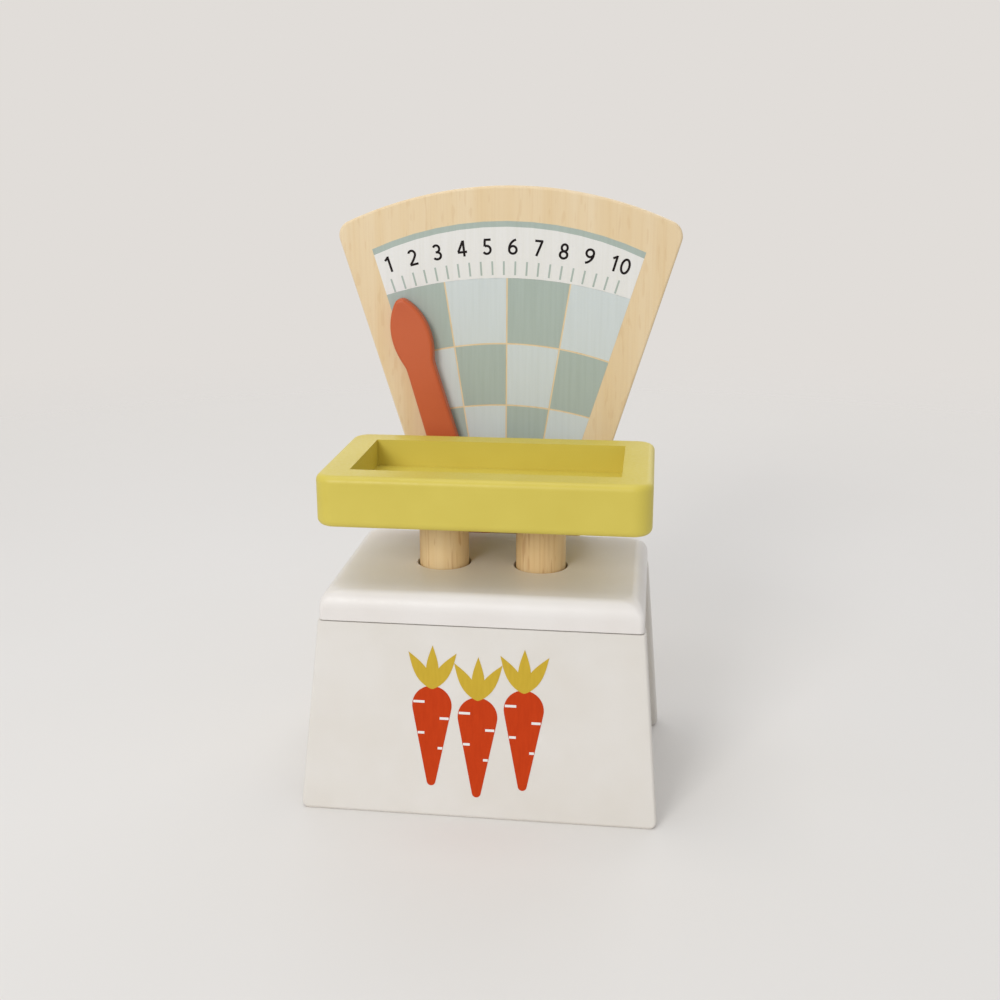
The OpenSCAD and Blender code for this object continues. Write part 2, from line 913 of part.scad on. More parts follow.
module pointer_shaft() {
    color(steel)
        bar_y(0, pivot_z, shaft_d, crank_front_y, board_back_y + cap_gap + cap_h / 2);
}

// A domed cap pushed on the end of the shaft
module shaft_cap() {
    dome_r = (cap_d * cap_d / 4 + cap_h * cap_h) / (2 * cap_h);
    color(steel)
        translate([0, board_back_y + cap_gap, pivot_z])
            rotate([-90, 0, 0])
                difference() {
                    rotate_extrude()
                        intersection() {
                            translate([0, cap_h - dome_r])
                                circle(r = dome_r, $fn = 180);
                            square([cap_d / 2, cap_h]);
                        }
                    translate([0, 0, -cut])
                        cylinder(d = shaft_d + 2 * fit_gap, h = cut + cap_h / 2);
                }
}

// The lever inside the box that turns the shaft
module crank() {
    color(ply)
        translate([0, 0, pivot_z])
            rotate([0, -pointer_rest, 0])
                difference() {
                    along_y(crank_front_y, crank_back_y) {
                        circle(r = crank_hub_r);
                        translate([0, -crank_end_r])
                            square([crank_r, 2 * crank_end_r]);
                        translate([crank_r, 0])
                            circle(r = crank_end_r);
                    }
                    bar_y(0, 0, shaft_d + 2 * fit_gap, crank_front_y - cut, crank_back_y + cut);
                    bar_y(crank_r, 0, peg_d + 2 * fit_gap, crank_front_y - cut, crank_back_y + cut);
                }
}

// The peg that joins the crank to the slot in the drive plate
module crank_peg() {
    color(beech)
        bar_y(peg_x, peg_z, peg_d, plate_front_y, crank_back_y);
}

front_panel();
rear_panel();
left_side_panel();
right_side_panel();
lid();
bottom_panel();
left_cleat();
right_cleat();
bottom_screws();
left_spring_post();
right_spring_post();
left_spring();
right_spring();
dial_board();
left_spacer();
right_spacer();
lower_spacer();
dial_screws();
shaft_washers();
tray_front_rail();
tray_rear_rail();
tray_left_rail();
tray_right_rail();
tray_floor();
left_dowel();
right_dowel();
crossbar();
dowel_screws();
drive_plate();
plate_screws();
pointer();
pointer_shaft();
shaft_cap();
crank();
crank_peg();
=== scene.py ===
"""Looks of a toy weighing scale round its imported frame: finishes, rounded pieces, springs, screws, the dial's
print and the picture on the front panel. Lengths are in metres, in the frame's own axes."""

import math

import bmesh
import bpy
from mathutils import Matrix, Vector

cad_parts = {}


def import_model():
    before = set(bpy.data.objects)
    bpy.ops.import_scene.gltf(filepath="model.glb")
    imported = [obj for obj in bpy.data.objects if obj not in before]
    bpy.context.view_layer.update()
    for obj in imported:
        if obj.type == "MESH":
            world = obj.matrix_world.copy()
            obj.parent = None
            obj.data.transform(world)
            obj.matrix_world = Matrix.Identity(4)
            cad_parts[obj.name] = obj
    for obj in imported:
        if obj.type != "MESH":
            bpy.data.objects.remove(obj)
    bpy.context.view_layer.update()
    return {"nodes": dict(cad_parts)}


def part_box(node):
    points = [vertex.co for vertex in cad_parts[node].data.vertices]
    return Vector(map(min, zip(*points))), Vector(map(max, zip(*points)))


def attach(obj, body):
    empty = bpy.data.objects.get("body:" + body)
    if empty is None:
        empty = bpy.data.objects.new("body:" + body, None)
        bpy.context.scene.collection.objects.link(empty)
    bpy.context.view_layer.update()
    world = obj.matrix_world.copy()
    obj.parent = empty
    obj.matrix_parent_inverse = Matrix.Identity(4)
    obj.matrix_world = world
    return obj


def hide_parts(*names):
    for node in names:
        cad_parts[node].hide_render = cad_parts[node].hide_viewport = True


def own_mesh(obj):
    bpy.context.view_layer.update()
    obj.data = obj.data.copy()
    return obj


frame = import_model()

MM = 0.001

# Axes that grain runs along
SIDEWAYS = 0
UPRIGHT = 2


def linear(red, green, blue):
    """A colour written from 0 to 255 in sRGB, as linear values with alpha."""
    def channel(value):
        share = value / 255
        return share / 12.92 if share <= 0.04045 else ((share + 0.055) / 1.055) ** 2.4
    return channel(red), channel(green), channel(blue), 1.0


# Materials

# Places of the colour sockets of a Mix node
MIX_SHARE = 0
MIX_FIRST = 6
MIX_SECOND = 7
MIX_RESULT = 2

# Nearly all values of a noise lie between these
NOISE_REACH = (0.3, 0.7)


class Finish:
    """A material with one Principled BSDF, and short ways to make the nodes that feed it."""

    def __init__(self, name, roughness, metallic=0.0, gloss=0.5):
        self.material = bpy.data.materials.new(name)
        self.material.use_nodes = True
        self.tree = self.material.node_tree
        self.bsdf = self.tree.nodes["Principled BSDF"]
        self.roughness = roughness
        self.bsdf.inputs["Roughness"].default_value = roughness
        self.bsdf.inputs["Metallic"].default_value = metallic
        self.bsdf.inputs["Specular IOR Level"].default_value = gloss
        self.place = self.tree.nodes.new("ShaderNodeTexCoord").outputs["Object"]

    def give(self, socket, value):
        """Sets an input to a value, or links it to a socket."""
        if isinstance(value, bpy.types.NodeSocket):
            self.tree.links.new(value, socket)
        else:
            socket.default_value = value

    def node(self, kind, values):
        """The first output of a new node with some inputs set or linked."""
        made = self.tree.nodes.new(kind)
        for name, value in values.items():
            self.give(made.inputs[name], value)
        return made.outputs[0]

    def noise(self, per_metre, detail=2.0):
        """Noise with a number of lumps per metre along each axis."""
        placed = self.node("ShaderNodeMapping", {"Vector": self.place, "Scale": per_metre})
        return self.node("ShaderNodeTexNoise", {"Vector": placed, "Scale": 1.0, "Detail": detail})

    def spread(self, value, reach, least=0.0, most=1.0):
        """Stretches the part of a value that lies in a reach over least to most."""
        low, high = reach
        ends = {"Value": value, "From Min": low, "From Max": high, "To Min": least, "To Max": most}
        return self.node("ShaderNodeMapRange", ends)

    def mix(self, share, first, second):
        """A colour between two colours, which are values or sockets."""
        made = self.tree.nodes.new("ShaderNodeMix")
        made.data_type = "RGBA"
        for place, value in ((MIX_SHARE, share), (MIX_FIRST, first), (MIX_SECOND, second)):
            self.give(made.inputs[place], value)
        return made.outputs[MIX_RESULT]

    def feed(self, name, value):
        """Links a socket to an input of the shader."""
        self.tree.links.new(value, self.bsdf.inputs[name])

    def uneven(self, noise, less, more):
        """Lets the roughness vary with a noise, from less to more than its middle value."""
        self.feed("Roughness", self.spread(noise, NOISE_REACH, self.roughness + less, self.roughness + more))

    def bump(self, height, strength, depth):
        """Raises the surface with a noise."""
        ends = {"Height": height, "Strength": strength, "Distance": depth}
        self.feed("Normal", self.node("ShaderNodeBump", ends))


# Lumps of noise per metre, in woods and inks across and along the grain
PAINT_CLOUDS = (45, 45, 45)
PAINT_FILM = (900, 900, 900)
METAL_LUMPS = (400, 400, 400)
WOOD_BANDS = (140, 5)
WOOD_FIBRES = (1300, 28)
WOOD_DASHES = (800, 130)
INK_FIBRES = (1000, 40)

# The part of each noise over which it comes to show
BAND_REACH = (0.32, 0.68)
FIBRE_REACH = (0.5, 0.78)
DASH_REACH = (0.68, 0.76)
INK_REACH = (0.35, 0.75)

# Least and most change of the roughness, and the strength and depth of the bump
PAINT_UNEVEN = (-0.05, 0.07)
PAINT_BUMP = (0.12, 0.1 * MM)
WOOD_ROUGHNESS = 0.5
WOOD_UNEVEN = (-0.08, 0.08)
WOOD_BUMP = (0.25, 0.08 * MM)
WOOD_GLOSS = 0.35
INK_ROUGHNESS = 0.55
INK_UNEVEN = (-0.06, 0.06)
INK_BUMP = (0.1, 0.05 * MM)
INK_GLOSS = 0.3
MATT_GLOSS = 0.1
METAL_ROUGHNESS = 0.3
METAL_UNEVEN = (-0.03, 0.04)


def paint(name, colour, shade, roughness):
    """Satin paint on wood: faint clouds of a second shade, and a fine uneven film."""
    finish = Finish(name, roughness)
    clouds = finish.noise(PAINT_CLOUDS)
    finish.feed("Base Color", finish.mix(finish.spread(clouds, NOISE_REACH), colour, shade))
    film = finish.noise(PAINT_FILM)
    finish.uneven(film, *PAINT_UNEVEN)
    finish.bump(film, *PAINT_BUMP)
    return finish.material


def grain(lumps, axis):
    """Lumps of noise across and along the grain, as a number for each axis."""
    across, along = lumps
    return tuple(along if i == axis else across for i in range(3))


def wood(name, pale, dark, fleck, axis, contrast):
    """Bare beech or plywood: soft bands, fine fibres and short flecks, which run along one axis."""
    finish = Finish(name, WOOD_ROUGHNESS, gloss=WOOD_GLOSS)
    bands = finish.spread(finish.noise(grain(WOOD_BANDS, axis)), BAND_REACH)
    fibres = finish.noise(grain(WOOD_FIBRES, axis))
    banded = finish.mix(bands, pale, dark)
    fibred = finish.mix(finish.spread(fibres, FIBRE_REACH, 0.0, contrast), banded, fleck)
    dashes = finish.spread(finish.noise(grain(WOOD_DASHES, axis), 0.0), DASH_REACH, 0.0, contrast)
    finish.feed("Base Color", finish.mix(dashes, fibred, fleck))
    finish.uneven(fibres, *WOOD_UNEVEN)
    finish.bump(fibres, *WOOD_BUMP)
    return finish.material


def ink(name, colour, shade, gloss=INK_GLOSS):
    """Screen-printed ink that lets the upright grain of what is under it show through."""
    finish = Finish(name, INK_ROUGHNESS, gloss=gloss)
    fibres = finish.noise(grain(INK_FIBRES, UPRIGHT))
    finish.feed("Base Color", finish.mix(finish.spread(fibres, INK_REACH), colour, shade))
    finish.uneven(fibres, *INK_UNEVEN)
    finish.bump(fibres, *INK_BUMP)
    return finish.material


def metal(name, colour, shade):
    """Plated steel with a faint satin."""
    finish = Finish(name, METAL_ROUGHNESS, metallic=1.0)
    lumps = finish.noise(METAL_LUMPS)
    finish.feed("Base Color", finish.mix(finish.spread(lumps, NOISE_REACH), colour, shade))
    finish.uneven(lumps, *METAL_UNEVEN)
    return finish.material


# The box has one white paint. The panels' copy of it is darker, a painted shade, and the lid's copy is lighter,
# a painted light.
SHADED_PANEL_WHITE = paint("panel_satin_paint_painted_shade", linear(222, 217, 210), linear(218, 212, 203), 0.42)
LIT_LID_WHITE = paint("lid_satin_paint_painted_light", linear(231, 226, 221), linear(227, 221, 215), 0.42)
LIME = paint("lime_satin_paint", linear(210, 192, 81), linear(205, 186, 74), 0.45)
TERRACOTTA = paint("terracotta_satin_paint", linear(196, 90, 43), linear(190, 84, 37), 0.48)
BOARD = wood(
    "board_beech", linear(232, 210, 174), linear(227, 201, 159), linear(210, 175, 127), UPRIGHT, 0.25,
)
DOWEL = wood(
    "dowel_beech", linear(232, 204, 157), linear(224, 190, 137), linear(190, 138, 90), UPRIGHT, 0.45,
)
PLY = wood(
    "plywood", linear(218, 192, 150), linear(204, 172, 126), linear(176, 136, 90), SIDEWAYS, 0.5,
)
STEEL = metal("plated_steel", linear(205, 205, 208), linear(197, 197, 201))
PRINT_DARK = ink("print_grey_green", linear(172, 184, 176), linear(167, 179, 170))
PRINT_LIGHT = ink("print_pale_blue", linear(208, 215, 215), linear(204, 211, 210))
PRINT_WHITE = ink("print_white", linear(231, 229, 226), linear(227, 225, 220))
PRINT_BLACK = ink("print_black", linear(30, 24, 24), linear(24, 19, 19), gloss=MATT_GLOSS)
PICTURE_RED = ink("picture_red", linear(194, 60, 14), linear(187, 56, 12), gloss=MATT_GLOSS)
PICTURE_OLIVE = ink("picture_olive", linear(200, 168, 54), linear(194, 162, 50), gloss=MATT_GLOSS)

# The panels take the darker copy of the white, a painted shade, and the lid takes the lighter copy, a painted
# light.
SLOT_FINISH = {
    "white_paint": SHADED_PANEL_WHITE, "plywood": PLY, "beech": BOARD, "lime_paint": LIME,
    "terracotta_paint": TERRACOTTA, "steel": STEEL,
}
NODE_FINISH = {
    "lid": LIT_LID_WHITE, "left_dowel": DOWEL, "right_dowel": DOWEL,
    "left_spring_post": DOWEL, "right_spring_post": DOWEL,
}


def slot_of(node):
    """The record's material slot of a CAD node."""
    return frame["nodes"][node].material_slots[0].material.name.split(".")[0]


NODE_SLOT = {node: slot_of(node) for node in frame["nodes"]}


def finish_of(node):
    """The finish of a CAD node: its own, or else that of its slot."""
    return NODE_FINISH.get(node, SLOT_FINISH[NODE_SLOT[node]])


for node, piece in frame["nodes"].items():
    piece.material_slots[0].material = finish_of(node)


# Pieces

WELD = 0.002 * MM
FLAT_ANGLE = math.radians(0.5)
SHARP_ANGLE = math.radians(40)
OVAL_STEPS = 20


def new_piece(name, bm, finish, body):
    """A mesh object with one finish, which rides on a body."""
    bmesh.ops.recalc_face_normals(bm, faces=bm.faces)
    mesh = bpy.data.meshes.new(name)
    bm.to_mesh(mesh)
    bm.free()
    mesh.materials.append(finish)
    piece = bpy.data.objects.new(name, mesh)
    bpy.context.scene.collection.objects.link(piece)
    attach(piece, body)
    return piece


def stand_in(name, bm, node, body):
    """A piece in a CAD node's finish, which is shown in the place of the node."""
    piece = new_piece(name, bm, finish_of(node), body)
    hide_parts(node)
    return piece


def round_shading(bm):
    """Shades all faces as round ones, except across sharp edges."""
    for face in bm.faces:
        face.smooth = True
    for edge in bm.edges:
        edge.smooth = edge.calc_face_angle(0.0) < SHARP_ANGLE


def keep_flats(piece):
    """Keeps wide faces flat in the shading where round edges meet them."""
    weighted = piece.modifiers.new("flat_faces", "WEIGHTED_NORMAL")
    weighted.keep_sharp = True


def oval(middle, radii, start, end, steps=OVAL_STEPS):
    """Points on an oval between two angles in degrees, counted from the right and turning left."""
    turns = [math.radians(start + (end - start) * i / steps) for i in range(steps + 1)]
    return [
        (middle[0] + radii[0] * math.cos(turn), middle[1] + radii[1] * math.sin(turn))
        for turn in turns
    ]


def circle(radius, sides):
    """Points round the origin, which turn left."""
    return oval((0, 0), (radius, radius), 0, 360, sides)[:-1]


def add_walls(bm, first, second):
    """Adds a wall between two rings of corners."""
    for i, corner in enumerate(first):
        after = (i + 1) % len(first)
        bm.faces.new((corner, first[after], second[after], second[i]))


def fill_between(bm, *rings):
    """Adds a flat face inside the first ring of corners and outside the others."""
    edges = [bm.edges.get((ring[i - 1], ring[i])) for ring in rings for i in range(len(ring))]
    bmesh.ops.triangle_fill(bm, use_beauty=True, edges=edges)


# Rounded pieces

def smooth_copy(node, body):
    """A copy of a CAD node whose eased edges are shaded as round ones. It stands for the node."""
    bm = bmesh.new()
    bm.from_mesh(frame["nodes"][node].data)
    bmesh.ops.remove_doubles(bm, verts=bm.verts, dist=WELD)
    bmesh.ops.dissolve_limit(bm, angle_limit=FLAT_ANGLE, verts=bm.verts, edges=bm.edges)
    round_shading(bm)
    piece = stand_in("eased_" + node, bm, node, body)
    normals = piece.data.attributes.get("custom_normal")
    if normals:
        piece.data.attributes.remove(normals)
    keep_flats(piece)


LID_ROUND_IN = 5 * MM
LID_ROUND_DOWN = 7 * MM
LID_CORNER_LOW = 2 * MM
LID_CORNER_TOP = 5.5 * MM
LID_HOLE_GAP = 0.9 * MM
ROUND_STEPS = 12
CORNER_STEPS = 10
HOLE_SIDES = 96


def plan_outline(low, high, inset, corner):
    """Flat points round a rectangle with round corners, a distance inside the sides of a box."""
    left, right = low.x + inset + corner, high.x - inset - corner
    front, rear = low.y + inset + corner, high.y - inset - corner
    points = []
    for i, middle in enumerate(((right, rear), (left, rear), (left, front), (right, front))):
        points += oval(middle, (corner, corner), 90 * i, 90 * (i + 1), CORNER_STEPS)
    return points


def rounded_lid():
    """The lid with its upper edges and corners rounded over in one."""
    low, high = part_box("lid")
    bm = bmesh.new()

    def ring(points, height):
        return [bm.verts.new((x, y, height)) for x, y in points]

    rings = [ring(plan_outline(low, high, 0, LID_CORNER_LOW), low.z)]
    for i in range(ROUND_STEPS + 1):
        turn = math.pi / 2 * i / ROUND_STEPS
        share = 1 - math.cos(turn)
        corner = LID_CORNER_LOW + (LID_CORNER_TOP - LID_CORNER_LOW) * share
        height = high.z - LID_ROUND_DOWN * (1 - math.sin(turn))
        rings.append(ring(plan_outline(low, high, LID_ROUND_IN * share, corner), height))
    for first, second in zip(rings, rings[1:]):
        add_walls(bm, first, second)
    feet, tops = [rings[0]], [rings[-1]]
    for node in ("left_dowel", "right_dowel"):
        dowel_low, dowel_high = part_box(node)
        radius = (dowel_high.x - dowel_low.x) / 2 + LID_HOLE_GAP
        middle = (dowel_low + dowel_high) / 2
        hole = oval(middle, (radius, radius), 0, 360, HOLE_SIDES)[:-1]
        feet.append(ring(hole, low.z))
        tops.append(ring(hole, high.z))
        add_walls(bm, feet[-1], tops[-1])
    fill_between(bm, *feet)
    fill_between(bm, *tops)
    round_shading(bm)
    keep_flats(stand_in("eased_lid", bm, "lid", "base"))


# The pointer's sizes are heights above its pivot, half widths and radii
POINTER_LEAN = math.radians(16.45)
POINTER_EDGE_R = 1.4 * MM
POINTER_BORE_GAP = 0.1 * MM
HUB_R = 9 * MM
STEM_HALF = 7.25 * MM
STEM_TAPER = 0.01207
NECK_SOFT = 0.4 * MM
HEAD_AT = 135.3 * MM
HEAD_HALF = 7.9 * MM
TAIL_LENGTH = 18 * MM
TAIL_R = 29.6 * MM
TIP_SIDE_R = 23.33 * MM
TIP_R = 3 * MM
EDGE_STEPS = 8
NECK_STEPS = 30
BORE_SIDES = 48


def stem_half(height):
    """Half the width of the pointer's stem at a height above its pivot."""
    return STEM_HALF - STEM_TAPER * height


def neck_half(height):
    """Half the width where the stem runs softly into the head, up to the head's widest place."""
    stem = stem_half(height)
    leaf = HEAD_HALF - TAIL_R + math.sqrt(TAIL_R ** 2 - (HEAD_AT - height) ** 2)
    return (stem + leaf + math.hypot(stem - leaf, NECK_SOFT)) / 2


def pointer_outline():
    """Flat points round the upright pointer, with its pivot at the origin."""
    hub = [point for point in oval((0, 0), (HUB_R, HUB_R), -90, 90) if point[0] > stem_half(point[1])]
    heights = [HEAD_AT - TAIL_LENGTH * (1 - i / NECK_STEPS) for i in range(NECK_STEPS)]
    tip_inset = TIP_SIDE_R - HEAD_HALF
    tip_turn = math.degrees(math.acos(tip_inset / (TIP_SIDE_R - TIP_R)))
    tip_at = HEAD_AT + math.sqrt((TIP_SIDE_R - TIP_R) ** 2 - tip_inset ** 2)
    side = oval((-tip_inset, HEAD_AT), (TIP_SIDE_R, TIP_SIDE_R), 0, tip_turn)
    tip = oval((0, tip_at), (TIP_R, TIP_R), tip_turn, 90)
    half = hub + [(neck_half(height), height) for height in heights] + side + tip[1:]
    return half + [(-across, height) for across, height in half[-2:0:-1]]


def drawn_in(points, inset):
    """Moves a closed outline, which turns left, to its inside by a distance."""
    moved = []
    for i, (across, height) in enumerate(points):
        before, after = points[i - 1], points[(i + 1) % len(points)]
        along = Vector((after[0] - before[0], after[1] - before[1])).normalized()
        moved.append((across - along.y * inset, height + along.x * inset))
    return moved


def eased_sides(thick):
    """How far the pointer's sides are drawn in at each depth, from its front to its back."""
    turns = [math.pi / 2 * i / EDGE_STEPS for i in range(EDGE_STEPS + 1)]
    front = [(POINTER_EDGE_R * (1 - math.sin(turn)), POINTER_EDGE_R * (1 - math.cos(turn))) for turn in turns]
    return front + [(inset, thick - depth) for inset, depth in reversed(front)]


def leaf_pointer():
    """The pointer with eased edges, a leaf-shaped head and a soft neck."""
    low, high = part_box("pointer")
    shaft_low, shaft_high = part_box("pointer_shaft")
    pivot = (shaft_low + shaft_high) / 2
    bm = bmesh.new()

    def ring(points, depth):
        """Corners at flat points, leaning with the pointer, at a depth behind its front."""
        corners = []
        for across, height in points:
            x = pivot.x + across * math.cos(POINTER_LEAN) - height * math.sin(POINTER_LEAN)
            z = pivot.z + across * math.sin(POINTER_LEAN) + height * math.cos(POINTER_LEAN)
            corners.append(bm.verts.new((x, low.y + depth, z)))
        return corners

    thick = high.y - low.y
    outline = pointer_outline()
    rings = [ring(drawn_in(outline, inset), depth) for inset, depth in eased_sides(thick)]
    for first, second in zip(rings, rings[1:]):
        add_walls(bm, first, second)
    bore = circle((shaft_high.x - shaft_low.x) / 2 + POINTER_BORE_GAP, BORE_SIDES)
    bore_front, bore_back = ring(bore, 0), ring(bore, thick)
    add_walls(bm, bore_front, bore_back)
    fill_between(bm, rings[0], bore_front)
    fill_between(bm, rings[-1], bore_back)
    round_shading(bm)
    keep_flats(stand_in("eased_pointer", bm, "pointer", "pointer"))


for node in ("front_panel", "rear_panel", "dial_board"):
    smooth_copy(node, "base")
leaf_pointer()
rounded_lid()


# Springs

SPRING_CURLS = 7
SPRING_WIRE = 1.2 * MM
WIRE_SIDES = 12
RINGS_PER_CURL = 28


def wire_ring(bm, centre, out, side):
    """A ring of corners round the wire, between two directions across it."""
    turns = [2 * math.pi * k / WIRE_SIDES for k in range(WIRE_SIDES)]
    return [bm.verts.new(centre + SPRING_WIRE / 2 * (math.cos(turn) * out + math.sin(turn) * side))
            for turn in turns]


def coil_spring(node):
    """A round-wire coil in the place of a spring's solid."""
    low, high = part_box(node)
    middle = (low + high) / 2
    radius = (high.x - low.x - SPRING_WIRE) / 2
    rise = high.z - low.z - SPRING_WIRE
    rings = SPRING_CURLS * RINGS_PER_CURL
    climb = rise / (2 * math.pi * SPRING_CURLS)
    bm = bmesh.new()
    loops = []
    for i in range(rings + 1):
        turn = 2 * math.pi * i / RINGS_PER_CURL
        out = Vector((math.cos(turn), math.sin(turn), 0))
        way = Vector((-radius * math.sin(turn), radius * math.cos(turn), climb)).normalized()
        centre = Vector((middle.x, middle.y, low.z + SPRING_WIRE / 2 + rise * i / rings)) + radius * out
        loops.append(wire_ring(bm, centre, out, way.cross(out)))
    for first, second in zip(loops, loops[1:]):
        add_walls(bm, first, second)
    bm.faces.new(loops[0])
    bm.faces.new(loops[-1])
    round_shading(bm)
    piece = stand_in("coil_" + node, bm, node, "base")
    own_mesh(piece)


for node in ("left_spring", "right_spring"):
    coil_spring(node)


# Screws

SCREW_HEAD_H = 2.2 * MM
SCREW_SHANK_SHARE = 0.5
SCREW_SIDES = 32
CROSS_REACH_SHARE = 0.27
CROSS_HALF_SHARE = 0.07
CROSS_DEPTH = 1.2 * MM
CROSS_TAPER_SHARE = 0.7


def solid_boxes(node):
    """The low and high corner of each separate solid of a CAD node."""
    bm = bmesh.new()
    bm.from_mesh(frame["nodes"][node].data)
    bmesh.ops.remove_doubles(bm, verts=bm.verts, dist=WELD)
    bm.verts.index_update()
    seen = set()
    boxes = []
    for start in bm.verts:
        if start.index in seen:
            continue
        seen.add(start.index)
        group = [start]
        for vert in group:
            for edge in vert.link_edges:
                other = edge.other_vert(vert)
                if other.index not in seen:
                    seen.add(other.index)
                    group.append(other)
        boxes.append([Vector([end(vert.co[i] for vert in group) for i in range(3)]) for end in (min, max)])
    bm.free()
    return boxes


def add_screw(bm, head, into, width, length):
    """Adds a countersunk screw with a cross in its head, which points into the wood."""
    side = Vector((into.y, into.z, into.x))
    other = into.cross(side)

    def corners(flat, depth):
        return [bm.verts.new(head + side * x + other * y + into * depth) for x, y in flat]

    def cross(scale):
        reach, half = CROSS_REACH_SHARE * width * scale, CROSS_HALF_SHARE * width * scale
        arm = [(reach, -half), (reach, half), (half, half)]
        turns = [(1, 0), (0, 1), (-1, 0), (0, -1)]
        return [(x * c - y * s, x * s + y * c) for c, s in turns for x, y in arm]

    shank = circle(width / 2 * SCREW_SHANK_SHARE, SCREW_SIDES)
    rim = corners(circle(width / 2, SCREW_SIDES), 0)
    neck = corners(shank, SCREW_HEAD_H)
    tip = corners(shank, length)
    mouth = corners(cross(1), 0)
    bed = corners(cross(CROSS_TAPER_SHARE), CROSS_DEPTH)
    for first, second in ((rim, neck), (neck, tip), (mouth, bed)):
        add_walls(bm, first, second)
    bm.faces.new(tip)
    bm.faces.new(bed)
    fill_between(bm, rim, mouth)


def cross_head_screws(node, into):
    """Screws with a cross in their heads in the place of a node's plain ones."""
    bm = bmesh.new()
    along = max(range(3), key=lambda i: abs(into[i]))
    for low, high in solid_boxes(node):
        head = (low + high) / 2
        head[along] = low[along] if into[along] > 0 else high[along]
        across = (along + 1) % 3
        add_screw(bm, head, into, high[across] - low[across], high[along] - low[along])
    stand_in("cross_head_" + node, bm, node, "base")


cross_head_screws("dial_screws", Vector((0, -1, 0)))
cross_head_screws("bottom_screws", Vector((0, 0, 1)))


# Flat prints

PRINT_PROUD = 0.08 * MM
PRINT_SUNK = -0.05 * MM
MITRE_LEAST = 0.5


def add_print(bm, left, right, place, proud=PRINT_PROUD, closed=False):
    """Adds a thin closed solid between two edges of a flat shape. place sets a flat point at a height."""
    walls = [[bm.verts.new(place(point, height)) for point in edge]
             for height in (proud, PRINT_SUNK) for edge in (left, right)]
    front_left, front_right, back_left, back_right = walls
    count = len(left)
    for i in range(count if closed else count - 1):
        j = (i + 1) % count
        bm.faces.new((front_left[i], front_left[j], front_right[j], front_right[i]))
        bm.faces.new((back_left[i], back_right[i], back_right[j], back_left[j]))
        bm.faces.new((front_left[i], back_left[i], back_left[j], front_left[j]))
        bm.faces.new((front_right[i], front_right[j], back_right[j], back_right[i]))
    if not closed:
        for i in (0, count - 1):
            bm.faces.new((front_left[i], front_right[i], back_right[i], back_left[i]))


def print_piece(name, bm, finish):
    """Ends a print: points that meet become one, and the piece rides on the base."""
    bmesh.ops.remove_doubles(bm, verts=bm.verts, dist=WELD)
    bmesh.ops.dissolve_degenerate(bm, edges=bm.edges, dist=WELD)
    new_piece(name, bm, finish, "base")


def pen_edges(points, half, closed=False):
    """Left and right edges of a stroke of even width along a row of flat points."""
    points = [Vector(point) for point in points]
    count = len(points)
    left, right = [], []
    for i, point in enumerate(points):
        ways = []
        if i > 0 or closed:
            ways.append((point - points[i - 1]).normalized())
        if i < count - 1 or closed:
            ways.append((points[(i + 1) % count] - point).normalized())
        way = sum(ways, Vector((0, 0))).normalized()
        reach = half / max(way.dot(ways[0]), MITRE_LEAST)
        side = Vector((-way.y, way.x)) * reach
        left.append(point + side)
        right.append(point - side)
    return left, right


# Dial print

BOARD_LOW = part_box("dial_board")[0]
BOARD_FLARE = math.radians(17.2)
BOARD_FOOT_HALF = 8.5 * MM
PRINT_MARGIN = 11.68 * MM
PRINT_X = -1.1 * MM
PRINT_TILT = -0.006
SCALE_Z = 43 * MM

# The print's slanting sides would meet at this height
PRINT_APEX_Z = BOARD_LOW.z + (PRINT_MARGIN / math.cos(BOARD_FLARE) - BOARD_FOOT_HALF) / math.tan(BOARD_FLARE)


def on_board(point, height):
    """A point of the print, counted from its own middle line, on the face of the board."""
    turned = Matrix.Rotation(PRINT_TILT, 2) @ Vector((point[0], point[1] - SCALE_Z))
    return Vector((PRINT_X + turned.x, BOARD_LOW.y - height, SCALE_Z + turned.y))


class Arc:
    """One curved border of the print: its radius and the height of its top, in millimetres."""

    def __init__(self, radius, top):
        self.radius = radius * MM
        self.middle = top * MM - self.radius

    def at(self, share, aside=0.0, inward=0.0):
        """Where the arc crosses the slanting line at a share of the print's half width."""
        radius = self.radius - inward
        slope = share * math.tan(BOARD_FLARE)
        start = slope * (self.middle - PRINT_APEX_Z) + aside
        root = math.sqrt(radius ** 2 * (slope ** 2 + 1) - start ** 2)
        rise = (root - slope * start) / (slope ** 2 + 1)
        return slope * rise + start, self.middle + rise


BAND_TOP = Arc(133.7, 205.6)
BAND_LOW = Arc(129.1, 203.4)
ROW_ARCS = (Arc(162.9, 183.4), Arc(131.5, 157.2), Arc(133.5, 132.0), Arc(135.0, 107.0), Arc(137.0, 83.0))
COLUMNS = (-1.0, -0.5, 0.0, 0.5, 1.0)
CHECK_GAP = 0.62 * MM
CHECK_STEPS = 12


def add_field(bm, top, low, first, last, gaps=(0, 0, 0, 0)):
    """Adds the field between two arcs and two slanting lines, less its gaps at the four sides."""
    top_gap, low_gap, first_gap, last_gap = gaps
    upper, lower = [], []
    for i in range(CHECK_STEPS + 1):
        t = i / CHECK_STEPS
        share = first + (last - first) * t
        aside = first_gap * (1 - t) - last_gap * t
        upper.append(top.at(share, aside, top_gap))
        lower.append(low.at(share, aside, -low_gap))
    add_print(bm, upper, lower, on_board)


def dial_bands():
    """The grey-green line along the top and the white field of the numerals."""
    for name, finish, top, low in (
        ("dial_band", PRINT_DARK, BAND_TOP, BAND_LOW),
        ("dial_scale_field", PRINT_WHITE, BAND_LOW, ROW_ARCS[0]),
    ):
        bm = bmesh.new()
        add_field(bm, top, low, -1.0, 1.0)
        print_piece(name, bm, finish)


